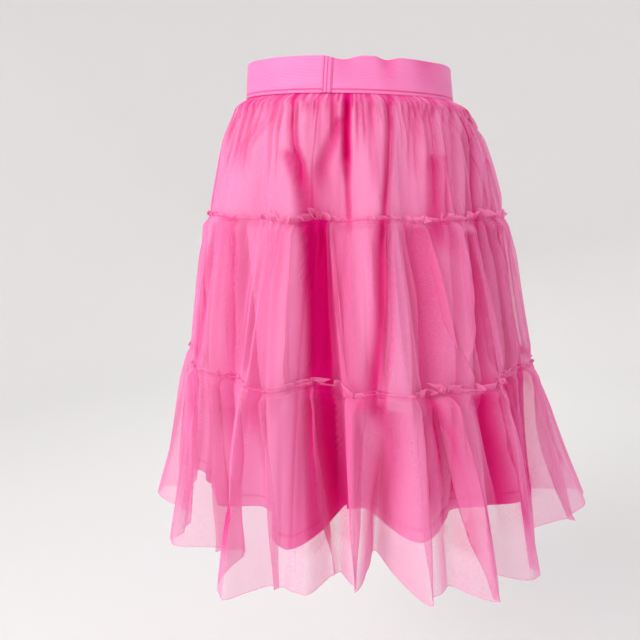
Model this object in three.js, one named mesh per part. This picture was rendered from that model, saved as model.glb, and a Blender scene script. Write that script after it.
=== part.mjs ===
// A knee-length tulle skirt: a wide elastic waistband, three gathered tiers of tulle and a lining inside them.
// It keeps the hollow shape it has when worn, open at the waist and at the hem.
// Millimetres, +Z up. The origin is the middle of the waistband's ring, where the wearer holds the skirt up.
// The back, with the band's join, faces -Y. Angles are in degrees, 0 at the back (-Y) and 90 at +X.

import * as THREE from 'three';

// Cloth and seams
const bandWall = 2;
const clothWall = 1.2;
const seamGap = 0.3;
const liningClearance = 3;

// Waistband
const bandHeight = 40;
const bandTilt = 14;
const tuckHeight = 7;
const bandTop = { left: 123, right: 123, near: 91, far: 91 };
const bandFoot = { left: 127, right: 127, near: 94, far: 94 };

// Soft dents in the band's top edge: how far each goes in, how much it lowers the edge, and its half width
const bandDents = [
  { angle: -7, depth: 2, drop: 4, spread: 15 },
  { angle: 24, depth: 3.5, drop: 3, spread: 10 },
  { angle: 52, depth: 3, drop: 0, spread: 16 },
  { angle: 142, depth: 2.5, drop: 2, spread: 14 },
  { angle: 205, depth: 3, drop: 3, spread: 12 },
];

// Seams and hems, as levels from the middle of the band
const seamOne = -157;
const seamTwo = -340;
const liningHem = -520;
const tulleHem = -567;
const seamTail = 6;
const belowSeam = 9;

// Levels of the rings between the seams: where gathers are deepest, where they ease out, and below
const tierOneLevels = { gathered: -33, easing: -65, smooth: -110 };
const tierTwoLevels = { easing: -205, smooth: -270 };
const tierThreeLevels = { easing: -390, smooth: -440, lower: -500 };
const liningLevels = [-36, -100, seamOne, -250, seamTwo, -430, liningHem];

// Gathers: small waves just under each seam, and the raw heading that stands above the two lower seams
const gatherDepth = 2.2;
const gatherPuff = 3.5;
const tailRoom = 1;
const headingHeight = 7;
const headingFlare = 1;
const headingRuffle = 2.4;
const headingUneven = 1.5;

// Sections of the tulle down the skirt: half widths, reach to the back and front, how much lower the right side
// is than the left, and the shares of the body folds and of the hem folds
const tulleSections = [
  { level: -33, left: 141, right: 145, near: 108, far: 106, tilt: 14, body: 0.05, hem: 0 },
  { level: -65, left: 157, right: 161, near: 118, far: 115, tilt: 14, body: 0.2, hem: 0.01 },
  { level: -110, left: 171, right: 178, near: 125, far: 122, tilt: 14, body: 0.35, hem: 0.02 },
  { level: -157, left: 184, right: 191, near: 132, far: 129, tilt: 13, body: 0.5, hem: 0.03 },
  { level: -250, left: 203, right: 207, near: 163, far: 158, tilt: 15, body: 0.8, hem: 0.08 },
  { level: -340, left: 219, right: 225, near: 190, far: 185, tilt: 18, body: 1, hem: 0.16 },
  { level: -430, left: 235, right: 243, near: 204, far: 200, tilt: 9, body: 0.6, hem: 0.5 },
  { level: -567, left: 262, right: 268, near: 216, far: 214, tilt: 0, body: 0, hem: 1 },
];

// Sections of the lining, in the same columns
const liningSections = [
  { level: -36, left: 134, right: 137, near: 101, far: 99, tilt: 14, body: 0.05, hem: 0 },
  { level: -100, left: 160, right: 166, near: 114, far: 112, tilt: 14, body: 0.3, hem: 0.02 },
  { level: -157, left: 173, right: 180, near: 121, far: 118, tilt: 13, body: 0.5, hem: 0.06 },
  { level: -250, left: 189, right: 195, near: 143, far: 140, tilt: 14, body: 0.8, hem: 0.2 },
  { level: -340, left: 203, right: 209, near: 161, far: 158, tilt: 12, body: 0.7, hem: 0.42 },
  { level: -430, left: 214, right: 220, near: 168, far: 166, tilt: 6, body: 0.3, hem: 0.75 },
  { level: -520, left: 226, right: 232, near: 172, far: 172, tilt: 0, body: 0, hem: 1 },
];

// Body folds that all layers share at the second seam, out from (+) or in from (-) the section
const bodyFolds = [
  { crest: -96, out: 4, valley: -80, deep: -6, floor: 0 },
  { crest: -62, out: 7, valley: -49, deep: -9, floor: 0 },
  { crest: -33, out: 6, valley: -16, deep: -26, floor: 4 },
  { crest: 7, out: 8, valley: 27, deep: -10, floor: 0 },
  { crest: 41, out: 8, valley: 56, deep: -7, floor: 0 },
  { crest: 73, out: 5, valley: 88, deep: -5, floor: 0 },
  { crest: 106, out: 7, valley: 123, deep: -12, floor: 2 },
  { crest: 141, out: 8, valley: 159, deep: -14, floor: 2 },
  { crest: 178, out: 7, valley: 196, deep: -13, floor: 2 },
  { crest: 214, out: 8, valley: 236, deep: -11, floor: 2 },
];

// Folds of the tulle's hem: the reach of each crest and of the valley after it
const tulleHemFolds = [
  { crest: -102, out: 308, valley: -86, deep: 232, floor: 0 },
  { crest: -68, out: 261, valley: -54, deep: 188, floor: 2 },
  { crest: -41, out: 263, valley: -32, deep: 210, floor: 0 },
  { crest: -20, out: 220, valley: -12, deep: 164, floor: 0 },
  { crest: -4, out: 190, valley: 5, deep: 124, floor: 0 },
  { crest: 17, out: 230, valley: 23, deep: 222, floor: 0 },
  { crest: 30, out: 260, valley: 37, deep: 234, floor: 0 },
  { crest: 45, out: 262, valley: 62, deep: 234, floor: 2 },
  { crest: 90, out: 319, valley: 103, deep: 236, floor: 0 },
  { crest: 115, out: 280, valley: 126, deep: 206, floor: 0 },
  { crest: 139, out: 262, valley: 150, deep: 190, floor: 0 },
  { crest: 162, out: 242, valley: 172, deep: 178, floor: 0 },
  { crest: 183, out: 228, valley: 192, deep: 172, floor: 0 },
  { crest: 203, out: 246, valley: 213, deep: 196, floor: 0 },
  { crest: 224, out: 270, valley: 234, deep: 208, floor: 0 },
  { crest: 244, out: 284, valley: 251, deep: 258, floor: 0 },
];

// Folds of the lining's hem
const liningHemFolds = [
  { crest: -98, out: 261, valley: -84, deep: 212, floor: 0 },
  { crest: -66, out: 203, valley: -52, deep: 152, floor: 2 },
  { crest: -27, out: 207, valley: -6, deep: 104, floor: 7 },
  { crest: 20, out: 190, valley: 45, deep: 158, floor: 2 },
  { crest: 71, out: 232, valley: 88, deep: 214, floor: 0 },
  { crest: 106, out: 238, valley: 123, deep: 172, floor: 2 },
  { crest: 142, out: 208, valley: 159, deep: 148, floor: 3 },
  { crest: 178, out: 196, valley: 195, deep: 150, floor: 3 },
  { crest: 214, out: 210, valley: 238, deep: 174, floor: 4 },
];

// Points round every ring, from the left side seam by the back, the right side and the front
const columns = 104;
const halfRound = columns / 2;
const columnStep = 360 / columns;
const liningSeamColumn = 20;
const joinColumns = { first: 20, last: 22 };
const joinWall = 1;
const layerStep = clothWall + seamGap;

const materials = {
  elastic: new THREE.MeshStandardMaterial({ color: '#ee7fb6', roughness: 0.55, metalness: 0 }),
  lining: new THREE.MeshStandardMaterial({ color: '#ec4f97', roughness: 0.5, metalness: 0 }),
  tulle: new THREE.MeshStandardMaterial({ color: '#f6a3c8', roughness: 0.8, metalness: 0 }),
};

function radians(degrees) {
  return (degrees * Math.PI) / 180;
}

function angleOf(column) {
  return -90 + columnStep * column;
}

function mix(from, to, share) {
  return from + (to - from) * share;
}

// A smooth step from 0 to 1
function ease(share) {
  return 0.5 - 0.5 * Math.cos(Math.PI * Math.min(1, Math.max(0, share)));
}

// The distance in degrees between two angles, whichever way round is shorter
function angleBetween(a, b) {
  return Math.abs(((a - b + 540) % 360) - 180);
}

// A section's reach from the axis at an angle: four quarter ellipses
function sectionReach(section, angle) {
  const across = Math.sin(radians(angle));
  const along = Math.cos(radians(angle));
  const side = across < 0 ? section.left : section.right;
  const depth = along > 0 ? section.near : section.far;
  return 1 / Math.hypot(across / side, along / depth);
}

// The row of a sections table at any level, worked out between the two rows around it
function sectionAt(sections, level) {
  const next = sections.findIndex((row) => row.level <= level);
  if (next === 0) return sections[0];
  if (next < 0) return sections[sections.length - 1];
  const upper = sections[next - 1];
  const lower = sections[next];
  const share = (upper.level - level) / (upper.level - lower.level);
  const names = Object.keys(upper);
  return Object.fromEntries(names.map((name) => [name, mix(upper[name], lower[name], share)]));
}

// The value of a fold table at an angle: crests and flat valley floors joined by smooth flanks
function foldValue(folds, angle) {
  const stations = folds.flatMap((fold) => [
    { at: fold.crest, value: fold.out },
    { at: fold.valley - fold.floor, value: fold.deep },
    { at: fold.valley + fold.floor, value: fold.deep },
  ]);
  const start = stations[0].at;
  const turned = start + ((((angle - start) % 360) + 360) % 360);
  stations.push({ at: start + 360, value: stations[0].value });
  const next = stations.findIndex((station) => station.at > turned);
  const before = stations[next - 1];
  const after = stations[next];
  return mix(before.value, after.value, ease((turned - before.at) / (after.at - before.at)));
}

// A ring of points, one for each column
function ringOf(reachAt, heightAt) {
  return Array.from({ length: columns }, (_, column) => {
    const angle = radians(angleOf(column));
    const reach = reachAt(angleOf(column), column);
    const x = reach * Math.sin(angle);
    return { x, y: -reach * Math.cos(angle), z: heightAt(x, column) };
  });
}

function between(ringA, ringB, share) {
  return ringA.map((point, i) => ({
    x: mix(point.x, ringB[i].x, share),
    y: mix(point.y, ringB[i].y, share),
    z: mix(point.z, ringB[i].z, share),
  }));
}

function lowered(ring, drop) {
  return ring.map((point, i) => ({ ...point, z: point.z - (typeof drop === 'function' ? drop(i) : drop) }));
}

// The ring moved out level along its own normals, mitred at the folds; a minus distance moves it in
function movedOut(ring, distance) {
  const sharpest = 0.5;
  return ring.map((point, i) => {
    const last = ring[(i + columns - 1) % columns];
    const next = ring[(i + 1) % columns];
    const arriving = new THREE.Vector2(point.x - last.x, point.y - last.y).normalize();
    const leaving = new THREE.Vector2(next.x - point.x, next.y - point.y).normalize();
    const along = arriving.clone().add(leaving).normalize();
    const mitre = 1 / Math.max(sharpest, along.dot(leaving));
    const move = (typeof distance === 'function' ? distance(i) : distance) * mitre;
    return { x: point.x + along.y * move, y: point.y - along.x * move, z: point.z };
  });
}

// Waves that differ from one to the next: odd columns stand out, even ones lie in
function unevenWave(column, seed) {
  const size = 0.7 + 0.3 * Math.sin(column * 2.3 + seed * 1.7);
  return (column % 2 ? 1 : -1) * size;
}

// The waistband's ring at a share of its height, 0 at the foot and 1 at the top edge
function bandRing(share) {
  const dentAt = (angle, name) => bandDents.reduce((sum, dent) => {
    const near = ease(1 - angleBetween(angle, dent.angle) / dent.spread);
    return sum + dent[name] * near * share * share;
  }, 0);
  const level = (share - 0.5) * bandHeight;
  const tiltEach = bandTilt / (bandFoot.left + bandFoot.right);
  return ringOf(
    (angle) => mix(sectionReach(bandFoot, angle), sectionReach(bandTop, angle), share) - dentAt(angle, 'depth'),
    (x, column) => level - tiltEach * x - dentAt(angleOf(column), 'drop'),
  );
}

// A layer's ring at a level, from its sections, the body folds and its own hem folds
function layerRing(sections, hemFolds, level, waveAt = () => 0) {
  const section = sectionAt(sections, level);
  const hemSection = sections[sections.length - 1];
  return ringOf(
    (angle, column) => {
      const hemOffset = foldValue(hemFolds, angle) - sectionReach(hemSection, angle);
      const folds = section.body * foldValue(bodyFolds, angle) + section.hem * hemOffset;
      return sectionReach(section, angle) + folds + waveAt(column);
    },
    (x) => level - (section.tilt * x) / (section.left + section.right),
  );
}

// Keeps a ring at least a gap outside an inner one, measured square to the inner one's flanks
function keptClear(ring, inner, gap) {
  return ring.map((point, i) => {
    const reach = Math.hypot(point.x, point.y);
    const innerReach = (column) => Math.hypot(inner[column].x, inner[column].y);
    const rise = innerReach((i + 1) % columns) - innerReach((i + columns - 1) % columns);
    const slope = rise / (2 * radians(columnStep) * innerReach(i));
    const least = innerReach(i) + gap * Math.hypot(1, slope);
    const scale = Math.max(1, least / reach);
    return { x: point.x * scale, y: point.y * scale, z: point.z };
  });
}

function liningRing(level) {
  return layerRing(liningSections, liningHemFolds, level);
}

function tulleRing(level, depth = 0, seed = 0, puff = 0) {
  const wave = (column) => puff + depth * unevenWave(column, seed);
  const ring = layerRing(tulleSections, tulleHemFolds, level, wave);
  return keptClear(ring, liningRing(level), clothWall + liningClearance);
}

// A closed wall through rings from top to bottom, over the columns from first to last
function wallMesh(name, rings, wall, material, first = 0, last = columns) {
  const wholeRound = last - first === columns;
  const count = wholeRound ? columns : last - first + 1;
  const steps = wholeRound ? columns : count - 1;
  const rows = rings.length;
  const outerRings = rings.map((ring) => movedOut(ring, wall / 2));
  const innerRings = rings.map((ring) => movedOut(ring, -wall / 2));
  const positions = [];
  const triangles = [];
  // The two end columns draw back by half a seam gap, so that neighbouring panels stay apart
  const pointAt = (ring, k) => {
    const point = ring[(first + k) % columns];
    if (wholeRound || (k > 0 && k < count - 1)) return point;
    const inward = ring[(first + (k ? k - 1 : 1)) % columns];
    const length = Math.hypot(inward.x - point.x, inward.y - point.y);
    const share = seamGap / 2 / length;
    return { x: mix(point.x, inward.x, share), y: mix(point.y, inward.y, share), z: mix(point.z, inward.z, share) };
  };
  for (const ring of [...outerRings, ...innerRings]) {
    for (let k = 0; k < count; k += 1) {
      const point = pointAt(ring, k);
      positions.push(point.x, point.y, point.z);
    }
  }
  const outer = (row, k) => row * count + (k % count);
  const inner = (row, k) => (rows + row) * count + (k % count);
  const quad = (a, b, c, d) => triangles.push(a, b, c, a, c, d);
  // Both faces of the wall are split along the same diagonal, so that they stay parallel where it twists
  for (let row = 0; row < rows - 1; row += 1) {
    for (let k = 0; k < steps; k += 1) {
      quad(outer(row + 1, k), outer(row + 1, k + 1), outer(row, k + 1), outer(row, k));
      quad(inner(row + 1, k), inner(row, k), inner(row, k + 1), inner(row + 1, k + 1));
    }
    if (!wholeRound) {
      quad(outer(row + 1, 0), outer(row, 0), inner(row, 0), inner(row + 1, 0));
      quad(outer(row, steps), outer(row + 1, steps), inner(row + 1, steps), inner(row, steps));
    }
  }
  for (let k = 0; k < steps; k += 1) {
    quad(outer(0, k), outer(0, k + 1), inner(0, k + 1), inner(0, k));
    quad(outer(rows - 1, k + 1), outer(rows - 1, k), inner(rows - 1, k), inner(rows - 1, k + 1));
  }
  const geometry = new THREE.BufferGeometry();
  geometry.setAttribute('position', new THREE.Float32BufferAttribute(positions, 3));
  geometry.setIndex(triangles);
  geometry.computeVertexNormals();
  const mesh = new THREE.Mesh(geometry, material);
  mesh.name = name;
  return mesh;
}

// The end of a tier, drawn in a little below its stitch line
function tailOf(seam) {
  return movedOut(lowered(seam, seamTail), -seamGap);
}

// The ring just below a stitch line, where the gathers puff out over the tail of the tier above
function gatheredRing(seam, level, seed) {
  return keptClear(tulleRing(level, gatherDepth, seed, gatherPuff), seam, layerStep + tailRoom);
}

// A tier's raw heading and stitch line, made from the tier above, moved out; rise is the height between its rings
function headingRings(above, seam, rise, seed) {
  const behind = between(seam, above, headingHeight / rise);
  const ruffle = (i) => (headingRuffle * (1 + unevenWave(i, seed))) / 2;
  const top = movedOut(behind, (i) => layerStep + headingFlare + ruffle(i));
  const uneven = (i) => headingUneven * Math.sin(i * 1.1 + seed);
  return [lowered(top, uneven), movedOut(seam, layerStep)];
}

// Waistband, and the overlap where the elastic's two ends are sewn down
const bandRings = [bandRing(1), bandRing(0.5), bandRing(0)];
const joinRings = bandRings.map((ring) => movedOut(ring, bandWall / 2 + seamGap + joinWall / 2));

// The tulle and the lining go up inside the band's foot
const tucked = between(bandRings[2], bandRings[1], (2 * tuckHeight) / bandHeight);
const underBand = lowered(bandRings[2], 1);
const tulleTuck = [tucked, underBand].map((ring) => movedOut(ring, -(bandWall / 2 + seamGap + clothWall / 2)));
const liningTuck = tulleTuck.map((ring) => movedOut(ring, -layerStep));

// First tier, from the band to just below the first seam
const seamOneRing = tulleRing(seamOne);
const seamTwoRing = tulleRing(seamTwo);
const tierOneRings = [
  ...tulleTuck,
  tulleRing(tierOneLevels.gathered, gatherDepth, 1),
  tulleRing(tierOneLevels.easing, gatherDepth / 2, 1),
  tulleRing(tierOneLevels.smooth),
  seamOneRing,
  tailOf(seamOneRing),
];

// Second tier: its heading and stitch line lie on the first tier, and it falls to the second seam
const tierTwoRings = [
  ...headingRings(tulleRing(tierOneLevels.smooth), seamOneRing, tierOneLevels.smooth - seamOne, 2),
  gatheredRing(seamOneRing, seamOne - belowSeam, 2),
  tulleRing(tierTwoLevels.easing, gatherDepth / 2, 2),
  tulleRing(tierTwoLevels.smooth),
  seamTwoRing,
  tailOf(seamTwoRing),
];

// Third tier, down to the raw hem
const tierThreeRings = [
  ...headingRings(tulleRing(tierTwoLevels.smooth), seamTwoRing, tierTwoLevels.smooth - seamTwo, 3),
  gatheredRing(seamTwoRing, seamTwo - belowSeam, 3),
  tulleRing(tierThreeLevels.easing, gatherDepth / 2, 3),
  tulleRing(tierThreeLevels.smooth),
  tulleRing(tierThreeLevels.lower),
  tulleRing(tulleHem),
];

const liningRings = [...liningTuck, ...liningLevels.map(liningRing)];

// Layers of two panels each, from the column where the first one starts
const layers = [
  { name: 'lining', halves: ['right', 'left'], rings: liningRings, start: liningSeamColumn, material: 'lining' },
  { name: 'tier_1', halves: ['back', 'front'], rings: tierOneRings, start: 0, material: 'tulle' },
  { name: 'tier_2', halves: ['back', 'front'], rings: tierTwoRings, start: 0, material: 'tulle' },
  { name: 'tier_3', halves: ['back', 'front'], rings: tierThreeRings, start: 0, material: 'tulle' },
];

const skirt = new THREE.Group();
skirt.add(wallMesh('waistband', bandRings, bandWall, materials.elastic));
skirt.add(wallMesh('waistband_join', joinRings, joinWall, materials.elastic, joinColumns.first, joinColumns.last));
for (const layer of layers) {
  layer.halves.forEach((half, k) => {
    const first = layer.start + k * halfRound;
    const material = materials[layer.material];
    skirt.add(wallMesh(`${layer.name}_${half}`, layer.rings, clothWall, material, first, first + halfRound));
  });
}

export default skirt;
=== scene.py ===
import math

import bpy
import numpy as np
from mathutils import Matrix, Vector


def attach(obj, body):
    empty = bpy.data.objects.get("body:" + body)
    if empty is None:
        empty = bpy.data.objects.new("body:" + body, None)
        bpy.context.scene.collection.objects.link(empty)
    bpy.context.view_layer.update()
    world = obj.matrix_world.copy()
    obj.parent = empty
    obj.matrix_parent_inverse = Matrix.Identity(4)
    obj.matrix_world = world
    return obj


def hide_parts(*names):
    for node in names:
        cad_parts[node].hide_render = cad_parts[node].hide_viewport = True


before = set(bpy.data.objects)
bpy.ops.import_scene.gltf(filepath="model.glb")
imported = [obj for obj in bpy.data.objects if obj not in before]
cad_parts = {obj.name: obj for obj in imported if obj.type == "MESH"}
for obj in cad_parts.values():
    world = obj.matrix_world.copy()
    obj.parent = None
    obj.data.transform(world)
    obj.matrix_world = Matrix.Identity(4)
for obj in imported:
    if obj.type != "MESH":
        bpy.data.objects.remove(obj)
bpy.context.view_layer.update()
print("frame loaded")

# A knee-length skirt: gathered tulle tiers over a lining, on a wide elastic band, hollow as it is when worn.
# The tables are in millimetres and degrees, 0 at the back (-Y) and 90 at +X. Meshes are in metres.
# Uneven waves are given as height, seed, counts round the skirt and drift.
mm = 0.001

seamOne, seamTwo, liningHem, tulleHem = -157, -340, -520, -567
clothGap = 1.5  # between layers that lie on each other
seamGap = 0.3  # between pieces that are sewn together

band = {
    "height": 40, "wall": 2, "columns": 400, "rows": 184,
    "top": {"left": 123, "right": 123, "near": 91, "far": 91},
    "foot": {"left": 127, "right": 127, "near": 94, "far": 94, "tilt": 14},
    "ribPitch": 1.6, "ribDepth": 0.16, "yarn": 0.7,
    "stitchRise": 4, "stitchDepth": 0.45, "stitchWidth": 0.7,
    "stitchShade": 0.8, "shadeWidth": 0.8, "dentShade": 0.16,
    "pull": (0.5, 71, (7, 12, 18)),
}

# Soft dents in the band's top edge
dentColumns = ("angle", "spread", "depth", "drop")
bandDents = ((-7, 15, 2, 4), (24, 10, 3.5, 3), (52, 16, 3, 0), (142, 14, 2.5, 2), (205, 12, 3, 3))


def table(columns, rows):
    return {name: np.array([row[i] for row in rows], float) for i, name in enumerate(columns)}


# Sections down the layers: half widths, reach to back and front, drop from left to right, shares of the folds
sectionColumns = ("level", "left", "right", "near", "far", "tilt", "body", "hem")
tulleSections = table(sectionColumns, (
    (-33, 141, 145, 108, 106, 14, .05, 0),
    (-65, 157, 161, 118, 115, 14, .2, .01),
    (-110, 171, 178, 125, 122, 14, .35, .02),
    (-157, 184, 191, 132, 129, 13, .5, .03),
    (-250, 203, 207, 163, 158, 15, .8, .08),
    (-340, 219, 225, 190, 185, 18, 1, .16),
    (-430, 235, 243, 204, 200, 9, .6, .5),
    (-567, 262, 268, 216, 214, 0, 0, 1),
))
liningSections = table(sectionColumns, (
    (-36, 136, 140, 101, 99, 14, .05, 0),
    (-65, 150, 156, 109, 107, 14, .2, .01),
    (-100, 163, 171, 114, 112, 14, .3, .02),
    (-157, 177, 184, 121, 118, 13, .5, .06),
    (-250, 195, 200, 143, 140, 14, .8, .2),
    (-340, 209, 214, 161, 158, 12, .7, .42),
    (-430, 214, 220, 168, 166, 6, .3, .75),
    (-520, 226, 232, 172, 172, 0, 0, 1),
))

# Folds round the skirt: each crest and the valley after it, with the half width of the valley's floor
foldColumns = ("crest", "out", "valley", "deep", "floor")
bodyFolds = table(foldColumns, (
    (-96, 4, -80, -6, 0), (-62, 7, -49, -9, 0), (-33, 6, -16, -26, 4), (7, 8, 27, -10, 0),
    (41, 8, 56, -7, 0), (73, 5, 88, -5, 0), (106, 7, 123, -12, 2), (141, 8, 159, -14, 2),
    (178, 7, 196, -13, 2), (214, 8, 236, -11, 2),
))
tulleHemFolds = table(foldColumns, (
    (-102, 308, -86, 232, 0), (-68, 261, -54, 188, 2), (-41, 263, -32, 210, 0), (-20, 220, -12, 164, 0),
    (-4, 190, 5, 124, 0), (17, 230, 23, 222, 0), (30, 260, 37, 234, 0), (45, 262, 62, 234, 2),
    (90, 319, 103, 236, 0), (115, 280, 126, 206, 0), (139, 262, 150, 190, 0), (162, 242, 172, 178, 0),
    (183, 228, 192, 172, 0), (203, 246, 213, 196, 0), (224, 270, 234, 208, 0), (244, 284, 251, 258, 0),
))
liningHemFolds = table(foldColumns, (
    (-98, 261, -84, 212, 0), (-66, 203, -52, 152, 2), (-27, 207, -6, 104, 7), (20, 190, 45, 158, 2),
    (71, 232, 88, 214, 0), (106, 238, 123, 172, 2), (142, 208, 159, 148, 3), (178, 196, 195, 150, 3),
    (214, 210, 238, 174, 4),
))


def ease(share):
    return 0.5 - 0.5 * np.cos(np.pi * np.clip(share, 0, 1))


def bell(away, width):
    return np.exp(-((away / width) ** 2))


def turned(angle):
    return (angle + 180) % 360 - 180


def softNoise(angle, level, height, seed, counts, drift=0.01):
    # Uneven waves that close up round the skirt and wander as they go down it
    random = np.random.default_rng(seed)
    total = 0
    for count in counts:
        phase, lean = random.uniform(0, 2 * np.pi), random.uniform(-drift, drift)
        total = total + np.cos(np.radians(angle) * count + phase + lean * level)
    return height * (total / math.sqrt(len(counts)))


def smoothAt(stations, values, wanted):
    # A smooth curve through a table's rows, with no overshoot
    step = np.diff(stations)
    slope = np.diff(values) / step
    product = slope[1:] * slope[:-1]
    total = slope[1:] + slope[:-1]
    inner = np.where(product > 0, 2 * product / np.where(total == 0, 1, total), 0)
    tangent = np.concatenate(([slope[0]], inner, [slope[-1]]))
    i = np.clip(np.searchsorted(stations, wanted, side="right") - 1, 0, len(step) - 1)
    t = np.clip((wanted - stations[i]) / step[i], 0, 1)
    rise = values[i] + (values[i + 1] - values[i]) * (3 * t**2 - 2 * t**3)
    return rise + step[i] * (tangent[i] * (t - 2 * t**2 + t**3) + tangent[i + 1] * (t**3 - t**2))


def sectionAt(sections, level):
    return {name: smoothAt(-sections["level"], column, -level) for name, column in sections.items()}


def sectionReach(section, angle):
    across, along = np.sin(np.radians(angle)), np.cos(np.radians(angle))
    side = np.where(across < 0, section["left"], section["right"])
    depth = np.where(along > 0, section["near"], section["far"])
    return 1 / np.hypot(across / side, along / depth)


def foldValue(folds, angle):
    floorStart, floorEnd = folds["valley"] - folds["floor"], folds["valley"] + folds["floor"]
    at = np.stack((folds["crest"], floorStart, floorEnd), 1).ravel()
    value = np.stack((folds["out"], folds["deep"], folds["deep"]), 1).ravel()
    at, value = np.append(at, at[0] + 360), np.append(value, value[0])
    place = at[0] + (angle - at[0]) % 360
    i = np.clip(np.searchsorted(at, place, side="right") - 1, 0, len(at) - 2)
    share = (place - at[i]) / np.maximum(at[i + 1] - at[i], 1e-6)
    return value[i] + (value[i + 1] - value[i]) * ease(share)


def layerReach(sections, hemFolds, angle, level):
    section = sectionAt(sections, level)
    hemSection = {name: column[-1] for name, column in sections.items()}
    hemOffset = foldValue(hemFolds, angle) - sectionReach(hemSection, angle)
    folds = section["body"] * foldValue(bodyFolds, angle) + section["hem"] * hemOffset
    return sectionReach(section, angle) + folds


def dented(effect, angle, share):
    # The dents' depth or drop at an angle, less and less down from the band's top edge
    total = 0
    for row in bandDents:
        dent = dict(zip(dentColumns, row))
        total = total + dent[effect] * ease(1 - abs(turned(angle - dent["angle"])) / dent["spread"])
    return total * share**2


def bandReach(angle, share):
    reach = sectionReach(band["foot"], angle) * (1 - share) + sectionReach(band["top"], angle) * share
    return reach - dented("depth", angle, share)


def placed(angle, reach, level, section):
    # Points in metres from angles, reaches and levels, dropping from left to right by the section's tilt
    x = reach * np.sin(np.radians(angle))
    y = -reach * np.cos(np.radians(angle))
    return np.stack((x, y, level - section["tilt"] * x / (section["left"] + section["right"])), -1) * mm


# A crease's shoulders, the lengths over which it starts and fades, and how wide its painted shade is
crease = {"shoulder": 0.35, "shoulderWidth": 2.2, "start": 6, "fade": 40, "shortFade": 1.5, "shadeSpread": 0.86}


def creased(creases, angle, level, radius):
    # Soft troughs that each follow a path of angles and levels. A skewed one is steeper on one side.
    # Gives how far the cloth moves out, and how deep the painted shade is in the trough, from 0 to 1
    relief = np.zeros(np.broadcast(angle, level).shape)
    paintedShade = np.zeros_like(relief)
    for path, depth, width, skew, deep in creases:
        angles, levels = np.reshape(path, (-1, 2)).T
        top, foot = levels[0], levels[-1]
        middle = np.interp(-level, -levels, angles)
        away = radius * np.radians(turned(angle - middle))
        share = away / (width * (1 + skew * np.sign(away)))
        fade = min(crease["fade"], crease["shortFade"] * (top - foot))
        begun = ease((top + crease["start"] - level) / crease["start"])
        strength = begun * ease((level - foot + fade) / fade)
        trough = bell(share, 1) - crease["shoulder"] * bell(share, crease["shoulderWidth"])
        relief -= depth * trough * strength
        # Painted shade, darkest down the middle of each trough
        paintedShade = 1 - (1 - paintedShade) * (1 - deep * strength * np.exp(-np.abs(share * crease["shadeSpread"]) ** 3))
    return relief, paintedShade


# How unevenly gathers lie, how many are long ones and how much longer, and how skewed they can be
scatter = {"jitter": 0.42, "longOnes": 0.15, "longTimes": 1.8, "skew": 0.5}


def scatteredGathers(seed, count, top, depths, widths, lengths, lean, deep):
    # Small gathers of uneven size that fall from a seam, as creases
    random = np.random.default_rng(seed)
    step = 360 / count
    gathers = []
    for i in range(count):
        angle = -180 + step * (i + random.uniform(-scatter["jitter"], scatter["jitter"]))
        length = random.uniform(*lengths)
        length = length * (scatter["longTimes"] if random.random() < scatter["longOnes"] else 1)
        path = (angle, top, angle + random.uniform(-lean, lean), top - length)
        depth, width = random.uniform(*depths), random.uniform(*widths)
        skew = random.uniform(-scatter["skew"], scatter["skew"])
        # The last value is the gather's painted shade, deeper for deeper gathers
        gathers.append((path, depth, width, skew, deep * depth / depths[1]))
    return gathers


lining = {
    "columns": 800, "wall": 0.6, "cut": (1.24, 0.535), "cutArea": 0.6,
    "rows": ((-13, 2), (-20, 14), (-60, 11), (-157, 12), (-340, 10), (-500, 4), (-507, 5), (liningHem, 0)),
    "waves": (1.6, 5, (9, 14, 19, 23, 31), 0.004), "waveStart": -40, "waveGrow": 60,
    "hollowShade": 0.35, "seamFalls": (20, 140), "seamAngles": (-22.5, -25.8),
    "seamStart": -18, "seamGrow": 6, "seamWidth": 0.9, "seamSunk": 0.9, "seamShade": 0.6,
    "hemTurn": 15, "turnOut": 0.5, "turnSunk": 0.6, "turnWidth": 1.2, "turnShade": 0.5,
    "hang": (2.5, 61, (4, 7, 11)), "hangStart": -420, "hangGrow": 100,
    "lift": {"height": 17, "from": -66, "rise": 4, "to": -106, "fall": 14},
}
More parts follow.
